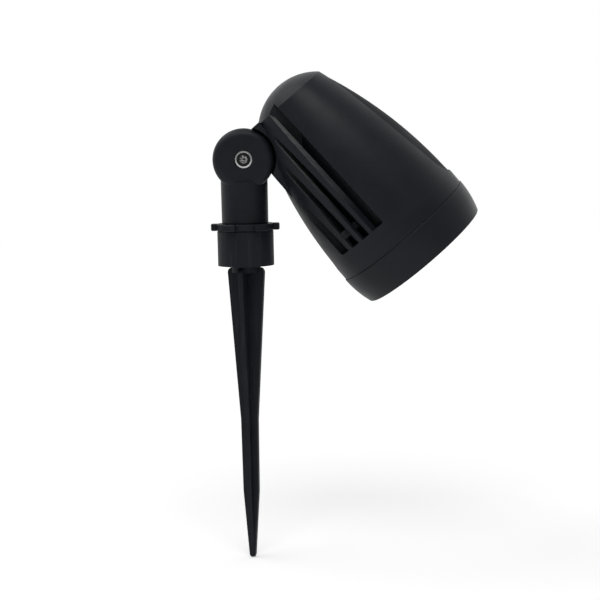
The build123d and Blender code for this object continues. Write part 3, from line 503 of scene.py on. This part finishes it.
def fin_painted_light_finish():
    """Painted light on the fins' upward edges: the powder painted greyer toward the rear of the recess,
    in streaks.
    """
    material = skin_finish("fin_painted_light", POWDER_BLACK, POWDER_WEAR_AND_HIGHLIGHT, gloss=(0.34, 0.46),
                           grain=(3000, 850, 120), depth=0.000022, sheen=POWDER_SHEEN,
                           edge_wear_and_light_width=0.0004)
    tree = material.node_tree
    along = combine_vectors(tree, "DOT_PRODUCT", place_on_piece(tree), BEAM)["Value"]
    seam = SEAM_CENTRE.dot(BEAM)
    painted_light_rearward = stretch_between(tree, along, (seam - FIN_LIGHT_FROM, seam - FIN_LIGHT_FULL))
    runs = place_group(tree, streaks, Squeeze=FIN_LIGHT_STREAK_SQUEEZE,
                       Streaks_per_metre=FIN_LIGHT_STREAKS_PER_METRE)
    broken = stretch_between(tree, runs.outputs["Streaks"], FIN_LIGHT_STREAK_SPAN, FIN_LIGHT_STREAK_RANGE)
    # Lay the painted light over the powder, stronger toward the rear.
    lay_over(material, combine(tree, "MULTIPLY", painted_light_rearward, broken), FIN_EDGE_PAINTED_LIGHT)
    return material


panel_powder = skin_finish("panel_powder", PANEL_BLACK, POWDER_WEAR_AND_HIGHLIGHT, gloss=(0.62, 0.76),
                           grain=(2600, 900, 60), depth=0.00005, sheen=0.16, edge_wear_and_light_amount=0.0)
wear_finish("housing", black_powder, panel_powder, fin_painted_light_finish(), which=housing_finish)

# ---------------------------------------------------------------------------------------------
# Bezel. A turned aluminium ring in the same powder holds the glass, with a flat gasket under its
# lip and a square rubber ring in its back face.
wear_finish("bezel_ring", black_powder)
for piece in ("bezel_seal", "glass_gasket"):
    wear_finish(piece, black_rubber)

# ---------------------------------------------------------------------------------------------
# Front glass. A 4 mm disc of toughened float glass, faintly green, with its edges eased. It lies
# on the gasket inside the bezel, and carries a few smears.
GLASS_TINT = (0.965, 0.99, 0.98, 1)
GLASS_IOR = 1.5
SMEAR_SPAN = (0.45, 0.7)
SMEAR_ROUGHNESS = 0.06
GLASS_DEPTH = 0.00001


def glass_finish():
    """Clear glass with smears that only change its gloss."""
    material, tree, shader = new_material("clear_glass")
    skin = place_group(tree, fine_grain, Grain_per_metre=300.0, Ripples_per_metre=60.0,
                       Patches_per_metre=25.0)
    smears = stretch_between(tree, skin.outputs["Patches"], SMEAR_SPAN, (0.0, SMEAR_ROUGHNESS))
    feed(tree, shader, Base_Color=GLASS_TINT, Metallic=0.0, Transmission_Weight=1.0, IOR=GLASS_IOR)
    feed(tree, shader, Roughness=smears)
    raise_surface(tree, shader, skin.outputs["Height"], depth=GLASS_DEPTH)
    return material


wear_finish("front_glass", glass_finish())

# ---------------------------------------------------------------------------------------------
# Heat spreader. A turned aluminium disc on the ledge of the inner tube, held by three zinc-plated
# steel screws that stand round it.
ALUMINIUM = (0.80, 0.80, 0.81, 1)
ALUMINIUM_SHADE = (0.58, 0.58, 0.60, 1)

spreader_metal = bright_metal("turned_aluminium", ALUMINIUM, ALUMINIUM_SHADE, SEAM_CENTRE, BEAM,
                              gloss=(0.28, 0.44), depth=0.00001)
wear_finish("heat_spreader", spreader_metal)
screw_zinc = bright_metal("zinc_steel", STEEL, STEEL_SHADE, SEAM_CENTRE, BEAM, gloss=(0.3, 0.5))
for piece in ("spreader_screws", "holder_screws"):
    wear_finish(piece, screw_zinc)

# ---------------------------------------------------------------------------------------------
# Light source. A round patch of yellow phosphor with a white dam sits on a white ceramic plate,
# over a grey thermal pad. A white plastic ring, held by two screws, presses it on the spreader.
PHOSPHOR = (0.80, 0.56, 0.05, 1)
PHOSPHOR_DEEP = (0.66, 0.42, 0.03, 1)
DAM_WHITE = (0.82, 0.82, 0.78, 1)
DAM_INNER_RADIUS = 0.0074
CERAMIC_WHITE = (0.80, 0.80, 0.77, 1)
HOLDER_WHITE = (0.74, 0.74, 0.71, 1)
PAD_GREY = (0.30, 0.31, 0.33, 1)
SHADE_WHITE = (0.50, 0.50, 0.47, 1)
SILICONE_GLOSS = (0.3, 0.45)
SILICONE_DEPTH = 0.00003


def emitter_finish():
    """Phosphor in silicone, mottled, inside its white dam."""
    material, tree, shader = new_material("phosphor")
    lathe = place_group(tree, turned, Centre=SEAM_CENTRE, Axis=BEAM, Rings_per_metre=600.0)
    skin = place_group(tree, fine_grain, Grain_per_metre=5000.0, Ripples_per_metre=1600.0,
                       Patches_per_metre=700.0)
    patches = skin.outputs["Patches"]
    mottle = stretch_between(tree, patches, SHARP_NOISE_SPAN)
    dam_edge = (DAM_INNER_RADIUS, DAM_INNER_RADIUS + FINISH_BORDER)
    dam = stretch_between(tree, lathe.outputs["Distance"], dam_edge)
    silicone = blend_colours(tree, mottle, PHOSPHOR_DEEP, PHOSPHOR)
    feed(tree, shader, Base_Color=blend_colours(tree, dam, silicone, DAM_WHITE))
    feed(tree, shader, Roughness=stretch_between(tree, patches, NOISE_SPAN, SILICONE_GLOSS))
    raise_surface(tree, shader, skin.outputs["Height"], depth=SILICONE_DEPTH)
    return material


white_ceramic = skin_finish("white_ceramic", CERAMIC_WHITE, SHADE_WHITE, gloss=(0.3, 0.42),
                            grain=(5000, 1500, 200), depth=0.00001, edge_wear_and_light_amount=0.3, edge_wear_and_light_width=0.0003)
thermal_silicone = skin_finish("thermal_silicone", PAD_GREY, SHADE_WHITE, gloss=(0.7, 0.85),
                               grain=(1600, 500, 150), depth=0.00004, edge_wear_and_light_amount=0.2, edge_wear_and_light_width=0.0003)
holder_plastic = skin_finish("holder_plastic", HOLDER_WHITE, SHADE_WHITE, gloss=(0.4, 0.55),
                             grain=(2600, 700, 90), depth=0.00002, edge_wear_and_light_amount=0.3, edge_wear_and_light_width=0.0004)
wear_finish("led_emitter", emitter_finish())
wear_finish("led_board", white_ceramic)
wear_finish("thermal_pad", thermal_silicone)
wear_finish("led_holder", holder_plastic)

# ---------------------------------------------------------------------------------------------
# Wires of the light source. Two stranded leads in PVC, one red and one black, from the driver
# through the spreader to the holder.
LEAD_COLOURS = {
    "red_pvc": ((0.42, 0.02, 0.015, 1), (0.60, 0.10, 0.08, 1)),
    "black_pvc": ((0.012, 0.012, 0.013, 1), POWDER_WEAR_AND_HIGHLIGHT),
}

leads = [
    skin_finish(name, colour, edge_wear_and_light_colour, gloss=(0.35, 0.5), grain=(3000, 900, 200), depth=0.00001)
    for name, (colour, edge_wear_and_light_colour) in LEAD_COLOURS.items()
]
wear_finish("led_leads", *leads, which=lambda face: 1 if face.center.y > 0 else 0)

# ---------------------------------------------------------------------------------------------
# Reflector. A spun aluminium bowl between holder and glass, vacuum metallised inside, with the
# slight orange peel of its base lacquer and faint spinning rings.
MIRROR = (0.91, 0.91, 0.92, 1)
MIRROR_SHADE = (0.80, 0.80, 0.82, 1)
SPINNING_RINGS_PER_METRE = 900.0
SPINNING_RING_SHARE = 0.4
PEEL_DEPTH = 0.000015


def reflector_finish():
    """Mirror bright metal over orange peel and spinning rings."""
    material, tree, shader, lathe = turned_metal("metallised", MIRROR, MIRROR_SHADE, SEAM_CENTRE, BEAM,
                                                 gloss=(0.1, 0.2), rings=SPINNING_RINGS_PER_METRE)
    peel = place_group(tree, fine_grain, Grain_per_metre=900.0, Ripples_per_metre=380.0,
                       Patches_per_metre=60.0)
    rings = combine(tree, "MULTIPLY", lathe.outputs["Rings"], SPINNING_RING_SHARE)
    height = combine(tree, "ADD", rings, peel.outputs["Height"])
    feed(tree, shader.inputs["Normal"].links[0].from_node, Height=height, Distance=PEEL_DEPTH)
    return material


wear_finish("reflector", reflector_finish())

# ---------------------------------------------------------------------------------------------
# Driver. A black plastic cup in the inner tube, open to the front, with a green circuit board
# along it that carries a taped coil, a sleeved capacitor and a transistor in black resin.
BOARD_GREEN = (0.015, 0.10, 0.035, 1)
BOARD_TRACK = (0.04, 0.20, 0.07, 1)
TRACKS_PER_METRE = 260.0
TRACK_SPAN = (0.45, 0.5)
TRACK_DEPTH = 0.00003
LACQUER_GLOSS = (0.25, 0.4)
CUP_BLACK = (0.014, 0.014, 0.015, 1)
TAPE_YELLOW = (0.62, 0.42, 0.04, 1)
SLEEVE_BLUE = (0.02, 0.05, 0.16, 1)
RESIN_BLACK = (0.016, 0.016, 0.017, 1)
# Distances behind the seam at which the coil ends, and then the capacitor.
PART_ENDS = (0.0517, 0.0634)


def board_finish():
    """Green lacquer over copper tracks, which run in squared cells."""
    material, tree, shader = new_material("circuit_board")
    cells = add_node(tree, "ShaderNodeTexVoronoi", feature="F1", distance="MANHATTAN")
    feed(tree, cells, Vector=place_on_piece(tree), Scale=TRACKS_PER_METRE)
    patches = place_group(tree, fine_grain, Grain_per_metre=4000.0).outputs["Patches"]
    tracks = stretch_between(tree, cells.outputs["Distance"], TRACK_SPAN)
    feed(tree, shader, Base_Color=blend_colours(tree, tracks, BOARD_GREEN, BOARD_TRACK))
    feed(tree, shader, Roughness=stretch_between(tree, patches, NOISE_SPAN, LACQUER_GLOSS))
    raise_surface(tree, shader, tracks, depth=TRACK_DEPTH)
    return material


cup_plastic = skin_finish("cup_plastic", CUP_BLACK, POWDER_WEAR_AND_HIGHLIGHT, gloss=(0.4, 0.55),
                          grain=(2400, 700, 80), depth=0.00002)
wear_finish("driver_case", cup_plastic)
wear_finish("driver_board", board_finish())
tape = skin_finish("coil_tape", TAPE_YELLOW, PHOSPHOR, gloss=(0.3, 0.45), grain=(2500, 700, 200),
                   depth=0.00002)
sleeve = skin_finish("capacitor_sleeve", SLEEVE_BLUE, POWDER_WEAR_AND_HIGHLIGHT, gloss=(0.25, 0.35),
                     grain=(3500, 900, 200), depth=0.00001)
resin = skin_finish("transistor_resin", RESIN_BLACK, POWDER_WEAR_AND_HIGHLIGHT, gloss=(0.5, 0.65),
                    grain=(4500, 900, 200), depth=0.00002)
wear_finish("driver_parts", tape, sleeve, resin,
            which=lambda face: sum(place_on_head(face)[0] > end for end in PART_ENDS))

# ---------------------------------------------------------------------------------------------
# Studio. A matt white floor under the spike's tip, in a pale room, with a large softbox above the
# camera, one on the left and a weak one behind the lamp on the right. Polished surfaces see white
# behind the lamp and a dimmer room on the camera's side.
PLAIN_WHITE = (1, 1, 1, 1)
FLOOR_SIZE = 6.0
FLOOR_GAP = 0.0004
FLOOR_WHITE = (0.9, 0.9, 0.9, 1)
FLOOR_ROUGHNESS = 0.9
FLOOR_GLOW = (0.20, 0.57)
FLOOR_GLOW_REACH = 2.2
ROOM_LEVEL = 0.5
ROOM_MIRRORED = (0.3, 1.0)
ROOM_MIRRORED_SPAN = (-0.4, 0.7)
LIGHTS_AIM = Vector((0.02, 0, 0.05))
# Name, place, size and watts of each softbox.
SOFTBOXES = (
    ("front_softbox", (0.0, -0.9, 1.3), (0.9, 0.7), 7.5),
    ("left_softbox", (-0.75, 0.05, 1.3), (1.1, 0.9), 6.0),
    ("rear_softbox", (0.8, 0.6, 1.0), (0.7, 0.7), 0.8),
)


def make_floor():
    """One square of floor, whose glow to the camera makes up for the light's falling off, so that
    it is white to its edge and still holds the lamp's soft shadow."""
    half = FLOOR_SIZE / 2
    height = cad_low[2] - FLOOR_GAP
    corners = [(x * half, y * half, height) for x, y in ((-1, -1), (1, -1), (1, 1), (-1, 1))]
    mesh = bpy.data.meshes.new("floor")
    mesh.from_pydata(corners, [], [(0, 1, 2, 3)])
    floor = bpy.data.objects.new("floor", mesh)
    bpy.context.scene.collection.objects.link(floor)
    material, tree, shader = new_material("floor_paper")
    path = add_node(tree, "ShaderNodeLightPath")
    seen = combine(tree, "MAXIMUM", path.outputs["Is Camera Ray"], path.outputs["Is Transmission Ray"])
    distance = combine_vectors(tree, "LENGTH", place_on_piece(tree))["Value"]
    glow = stretch_between(tree, distance, (0.0, FLOOR_GLOW_REACH), FLOOR_GLOW)
    feed(tree, shader, Base_Color=FLOOR_WHITE, Roughness=FLOOR_ROUGHNESS, Emission_Color=PLAIN_WHITE)
    feed(tree, shader, Emission_Strength=combine(tree, "MULTIPLY", seen, glow))
    mesh.materials.append(material)


def make_room():
    """The room's light, white to the camera, and by direction to polished surfaces."""
    world = bpy.data.worlds.new("studio")
    bpy.context.scene.world = world
    world.use_nodes = True
    tree = world.node_tree
    tree.nodes.clear()
    direction = add_node(tree, "ShaderNodeTexCoord").outputs["Generated"]
    parts = feed(tree, add_node(tree, "ShaderNodeSeparateXYZ"), Vector=direction)
    mirrored = stretch_between(tree, parts.outputs["Y"], ROOM_MIRRORED_SPAN, ROOM_MIRRORED)
    path = add_node(tree, "ShaderNodeLightPath")
    sharp = combine(tree, "MAXIMUM", path.outputs["Is Glossy Ray"], path.outputs["Is Transmission Ray"])
    strength = add_node(tree, "ShaderNodeMix")
    feed(tree, strength, Factor=sharp, A=ROOM_LEVEL, B=mirrored)
    shown = add_node(tree, "ShaderNodeMix")
    feed(tree, shown, Factor=path.outputs["Is Camera Ray"], A=strength.outputs["Result"], B=1.0)
    background = add_node(tree, "ShaderNodeBackground")
    feed(tree, background, Color=PLAIN_WHITE, Strength=shown.outputs["Result"])
    output = add_node(tree, "ShaderNodeOutputWorld")
    tree.links.new(background.outputs["Background"], output.inputs["Surface"])


def hang_softbox(name, place, size, watts):
    """A rectangular softbox that looks at the lamp."""
    light = bpy.data.lights.new(name, "AREA")
    light.shape = "RECTANGLE"
    light.size, light.size_y = size
    light.energy = watts
    box = bpy.data.objects.new(name, light)
    box.location = place
    box.rotation_euler = (LIGHTS_AIM - Vector(place)).to_track_quat("-Z", "Y").to_euler()
    bpy.context.scene.collection.objects.link(box)


make_floor()
make_room()
for softbox in SOFTBOXES:
    hang_softbox(*softbox)
